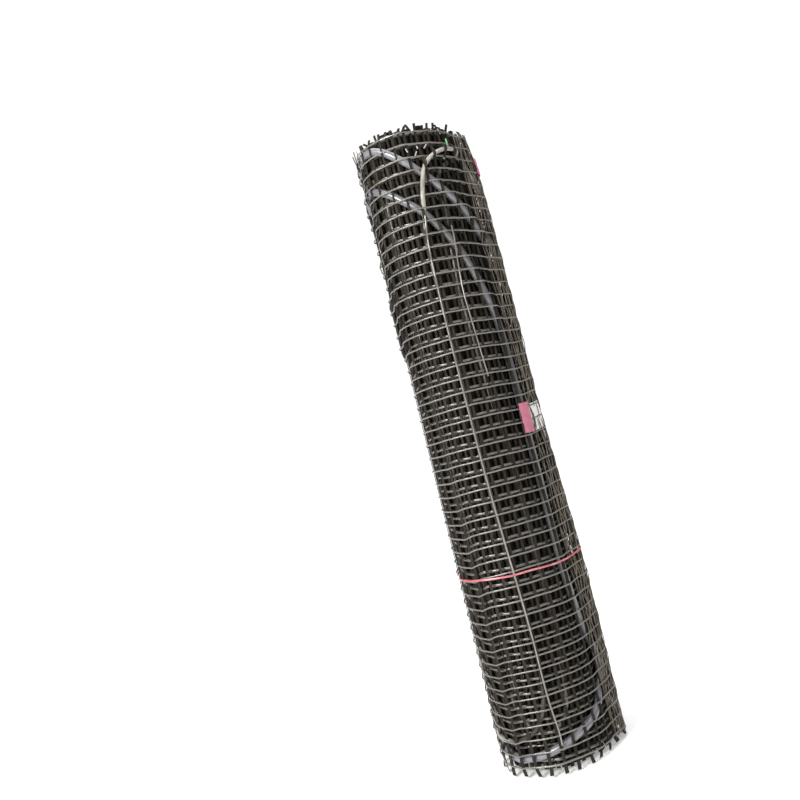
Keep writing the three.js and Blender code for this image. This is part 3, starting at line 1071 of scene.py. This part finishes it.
class HEATMAT_OT_joint(bpy.types.Operator):
    """Makes the cables' sleeve, the lead's stripped wires, the ridge thread and the loose ends."""

    bl_idname = "heatmat.joint"
    bl_label = "Sleeve, wires and loose ends"

    def execute(self, context):
        height = np.array([329.8, 331, 337, 340, 350, 360, 365, 368, 374, 375.2])
        width = np.array([2.5, 2.55, 3.7, 3.8, 3.75, 3.8, 3.8, 3.75, 2.6, 2.5])
        start_fresh()
        bpy.ops.mesh.primitive_circle_add(vertices=20, radius=0.5, fill_type="NGON")
        sleeve = named("cable_joint_sleeve")
        for _ in range(len(height) - 1):
            bpy.ops.object.mode_set(mode="EDIT")
            bpy.ops.mesh.extrude_region_move(TRANSFORM_OT_translate={"value": (0, 0, 1)})
            bpy.ops.object.mode_set(mode="OBJECT")
        flat = coordinates(sleeve)
        level = np.clip(np.round(flat[:, 2]).astype(int), 0, len(height) - 1)
        centre = surface_radius(np.full(1, 272.0), np.full(1, 352.0))[0] - 4.9
        way = math.radians(-92)
        points = np.empty(flat.shape)
        points[:, 0] = AXIS_X + centre * math.sin(way) + flat[:, 0] * 2 * width[level]
        points[:, 1] = AXIS_Y - centre * math.cos(way) + flat[:, 1] * 2 * width[level]
        points[:, 2] = height[level]
        put_coordinates(sleeve, points * MM)
        face_outwards()
        smooth(sleeve, 70)
        sleeve_material = sheath_finish("shrink sleeve", (0.03, 0.03, 0.033), 0.42, 0.1, 0.35)
        belongs(sleeve, "splice_sleeve", sleeve_material, "cable_splice")

        wires = (
            ("lead_core_brown", "core_brown", (0.16, 0.06, 0.03)),
            ("lead_core_earth", "core_earth", (0.32, 0.42, 0.06)),
            ("lead_core_blue", "core_blue", (0.03, 0.12, 0.42)),
        )
        copper = copper_finish()
        for node, slot, colour in wires:
            low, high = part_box(node)
            middle = (low + high) / 2
            steps = np.linspace(0, 1, 14)
            points = np.column_stack(
                (np.full(14, middle.x), np.full(14, middle.y), high.z + (low.z - high.z) * steps)
            )
            radius = min(high.x - low.x, high.y - low.y) / 2
            wire = tube(node.replace("lead_core", "stripped_wire"), points[:10], radius)
            belongs(wire, slot, sheath_finish(node, colour, 0.35, 0.2), node)
            tip = tube(node.replace("lead_core", "copper_tip"), points[9:], radius * 0.7)
            belongs(tip, slot, copper)

        angle, height = dense(RIDGE_THREAD).T
        radius = surface_radius(180 - angle, height) + 1.3
        thread = tube("ridge_thread", on_roll(angle, height, radius), 0.00065, 8)
        add_along(thread, coordinates(thread)[:, 2])
        # A paler copy of the thread at 1.35 along the front ridge: partly worn, partly painted
        # highlight.
        belongs(thread, "mesh", thread_finish(context.scene.mat_sizes, "ridge thread", 1.35))

        loose_ends = (
            ("left", [(-84, 480, -0.3), (-84, 490, 0.5), (-84, 499, 1.2), (-85, 507, 1.8)]),
            ("far_left", [(-86, 480, -0.3), (-86, 490, 1.0), (-87, 498, 2.2), (-87, 504, 3.4)]),
            ("tick", [(-76, 397, 1.0), (-78, 401, 2.6), (-80, 406, 3.0), (-79, 411, 1.0)]),
        )
        for name, knots in loose_ends:
            angle, height, out = np.array(knots, float).T
            radius = bare_radius(180 - angle, height) + out
            loose = tube(f"loose_end_{name}", on_roll(angle, height, radius), 0.00055, 8)
            belongs(loose, "mesh", bpy.data.materials["stray roving"])
        flecks = (
            ("pale_fleck_1", (-2, 479), (-1, 476)),
            ("pale_fleck_2", (9, 480), (9.5, 478)),
            ("pale_fleck_3", (5, 472.5), (7.5, 476)),
            ("pale_fleck_4", (16, 478), (19.5, 481)),
            ("pale_fleck_5", (36, 469), (36.5, 472.5)),
        )
        pale = label_finish("pale fibre fleck", (0.42, 0.41, 0.39), (0.3, 0.29, 0.27))
        for name, first, last in flecks:
            angle, height = np.linspace(first, last, 4).T
            radius = bare_radius(180 - angle, height) + 0.2
            fleck = tube(name, on_roll(angle, height, radius), 0.00055, 8)
            belongs(fleck, "mesh", pale)
        angle, height = np.linspace((46, 480.5), (46, 486.5), 5).T
        radius = bare_radius(180 - angle, height) + 0.4
        fleck = tube("green_fleck", on_roll(angle, height, radius), 0.0006, 8)
        green = label_finish("green film fleck", (0.2, 0.55, 0.28), (0.12, 0.4, 0.2))
        belongs(fleck, "mesh", green)
        return {"FINISHED"}


class HEATMAT_OT_ties(bpy.types.Operator):
    """Wraps the tie band, the label and the bit of marker tape round the roll."""

    bl_idname = "heatmat.ties"
    bl_label = "Tie band, label and marker"

    def execute(self, context):
        sizes = context.scene.tie_sizes
        low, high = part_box("tie_band")
        middle = (low.z + high.z) / 2 / MM
        width = sizes.band_width / MM
        angle_knots = np.array([-180, -120, -86, -43, -20, 13, 40, 65, 79, 90, 130, 180])
        height_knots = np.array([2.0, 3.0, 2.2, 0.6, -0.3, -0.6, -2.0, -2.4, -0.4, -0.3, 0.5, 2.0])
        start_fresh()
        bpy.ops.mesh.primitive_cylinder_add(vertices=180, radius=1, depth=1, end_fill_type="NOTHING")
        band = named("tie_band_wrap")
        face_outwards()
        flat = coordinates(band)
        angle = np.degrees(np.arctan2(flat[:, 0], -flat[:, 1]))
        rise = np.interp(angle, angle_knots, height_knots)
        level = middle + rise + flat[:, 2] * width
        taut = surface_radius(180 - angle, np.full(len(angle), middle)) + 1.2
        taut = np.maximum(taut, 46.4) - bump(angle + 75, 1.2, 18) - bump(angle - 88, 0.6, 12)
        tilt = 0.35 * np.sin(np.radians(angle * 3)) * flat[:, 2]
        way = np.radians(angle)
        radius = taut + tilt
        points = np.stack((AXIS_X + radius * np.sin(way), AXIS_Y - radius * np.cos(way), level), axis=1)
        put_coordinates(band, points * MM)
        finish_with(band, "SOLIDIFY", thickness=0.7 * MM, offset=1)
        finish_with(band, "BEVEL", width=0.2 * MM, segments=2, limit_method="ANGLE")
        smooth(band, 50)
        belongs(band, "band", band_finish(sizes), "tie_band")

        def over_threads(angle, height):
            return 1.5 + 0.15 * np.sin(angle * 0.9) + 0.12 * np.sin(height * 0.8 + angle * 0.3)

        def under_threads(angle, height):
            return 0.05 + 0.12 * np.sin(angle * 0.7 + height * 0.2)

        pink_film = label_finish("coloured label film", sizes.label_colour, (0.42, 0.13, 0.2))
        white_film = label_finish("white label film", (0.82, 0.81, 0.79), (0.6, 0.56, 0.5))
        marker_film = label_finish("marker film", (0.72, 0.12, 0.32), (0.5, 0.06, 0.2))
        pink = sheet_on_roll("label_end", (46.5, 62.5), (246.5, 269.5), over_threads, 0.3, 24, 20)
        belongs(pink, "label", pink_film, "lead_label")
        white = sheet_on_roll("label_blank", (62, 82), (246, 267), under_threads, 0.3, 30, 20)
        belongs(white, "label", white_film, "lead_label")
        bit = sheet_on_roll("marker_bit", (80.5, 91), (461, 475), over_threads, 0.3, 12, 12)
        belongs(bit, "tape", marker_film, "marker_tape")
        return {"FINISHED"}


class HEATMAT_OT_stage(bpy.types.Operator):
    """Puts up the floor, the lights, the pale surroundings and the camera."""

    bl_idname = "heatmat.stage"
    bl_label = "Stage"

    def execute(self, context):
        scene = context.scene
        start_fresh()
        bpy.ops.mesh.primitive_circle_add(
            vertices=96, radius=30, fill_type="NGON", location=(0, 0, -0.0004)
        )
        floor = settle(named("floor"))
        floor.data.materials.append(stage_finish())

        self.light("key", (-40, 28), 1.5, 0.45, 27, (1.0, 0.985, 0.955))
        self.light("soft", (35, 45), 2.2, 1.8, 8, (1.0, 0.95, 0.88))
        sky = bpy.data.lights.new("overhead", "SUN")
        sky.energy = 2.3
        sky.angle = math.radians(50)
        above = bpy.data.objects.new("overhead", sky)
        scene.collection.objects.link(above)

        world = bpy.data.worlds.new("pale room")
        world.use_nodes = True
        nodes = world.node_tree.nodes
        nodes.clear()
        seen = nodes.new("ShaderNodeBackground")
        seen.inputs["Color"].default_value = (1, 1, 1, 1)
        seen.inputs["Strength"].default_value = 1.05
        fill = nodes.new("ShaderNodeBackground")
        fill.inputs["Color"].default_value = (0.93, 0.96, 1, 1)
        fill.inputs["Strength"].default_value = 0.2
        which = nodes.new("ShaderNodeLightPath")
        mixed = nodes.new("ShaderNodeMixShader")
        output = nodes.new("ShaderNodeOutputWorld")
        links = world.node_tree.links
        links.new(which.outputs["Is Camera Ray"], mixed.inputs[0])
        links.new(fill.outputs[0], mixed.inputs[1])
        links.new(seen.outputs[0], mixed.inputs[2])
        links.new(mixed.outputs[0], output.inputs[0])
        scene.world = world
        scene.view_settings.view_transform = "Standard"

        lens = bpy.data.cameras.new("camera")
        lens.sensor_width = 36
        lens.lens = 33.3
        lens.shift_x = -0.0385
        lens.shift_y = 0.01005
        lens.clip_start = 0.01
        camera = bpy.data.objects.new("camera", lens)
        right = Vector((0.96692, 0.06748, -0.24598))
        upward = Vector((0.24859, -0.03333, 0.96804))
        backward = Vector((0.05713, -0.99716, -0.04900))
        turned = Matrix((right, upward, backward)).transposed().to_4x4()
        place = Vector((AXIS_X, AXIS_Y - 603.12, 256.48)) * MM
        camera.matrix_world = Matrix.Translation(place) @ turned
        scene.collection.objects.link(camera)
        scene.camera = camera
        return {"FINISHED"}

    def light(self, name, direction, distance, size, energy, colour):
        azimuth, elevation = (math.radians(value) for value in direction)
        made = bpy.data.lights.new(name, "AREA")
        made.size = size
        made.energy = energy
        made.color = colour
        lamp = bpy.data.objects.new(name, made)
        toward = Vector(
            (
                math.sin(azimuth) * math.cos(elevation),
                -math.cos(azimuth) * math.cos(elevation),
                math.sin(elevation),
            )
        )
        lamp.location = toward * distance + Vector((0, 0, 0.25))
        lamp.rotation_euler = toward.to_track_quat("Z", "Y").to_euler()
        bpy.context.scene.collection.objects.link(lamp)


class HEATMAT_PT_panel(bpy.types.Panel):
    """The mat's sizes and the steps that build it."""

    bl_idname = "HEATMAT_PT_panel"
    bl_label = "Rolled heating mat"
    bl_space_type = "VIEW_3D"
    bl_region_type = "UI"
    bl_category = "Heating mat"

    def draw(self, context):
        layout = self.layout
        for group in (context.scene.mat_sizes, context.scene.cable_sizes, context.scene.tie_sizes):
            for key in group.__annotations__:
                layout.prop(group, key)
        for step in STEPS:
            layout.operator(step.bl_idname)


STEPS = (
    HEATMAT_OT_stage,
    HEATMAT_OT_threads,
    HEATMAT_OT_tapes,
    HEATMAT_OT_strays,
    HEATMAT_OT_cables,
    HEATMAT_OT_joint,
    HEATMAT_OT_ties,
)
GROUPS = (MatSizes, CableSizes, TieSizes)


def register():
    for kind in GROUPS + STEPS + (HEATMAT_PT_panel,):
        bpy.utils.register_class(kind)
    bpy.types.Scene.mat_sizes = bpy.props.PointerProperty(type=MatSizes)
    bpy.types.Scene.cable_sizes = bpy.props.PointerProperty(type=CableSizes)
    bpy.types.Scene.tie_sizes = bpy.props.PointerProperty(type=TieSizes)


def unregister():
    del bpy.types.Scene.tie_sizes
    del bpy.types.Scene.cable_sizes
    del bpy.types.Scene.mat_sizes
    for kind in reversed(GROUPS + STEPS + (HEATMAT_PT_panel,)):
        bpy.utils.unregister_class(kind)


def main():
    register()
    bpy.ops.heatmat.stage()
    bpy.ops.heatmat.threads()
    bpy.ops.heatmat.tapes()
    bpy.ops.heatmat.strays()
    bpy.ops.heatmat.cables()
    bpy.ops.heatmat.joint()
    bpy.ops.heatmat.ties()


if __name__ == "__main__":
    main()
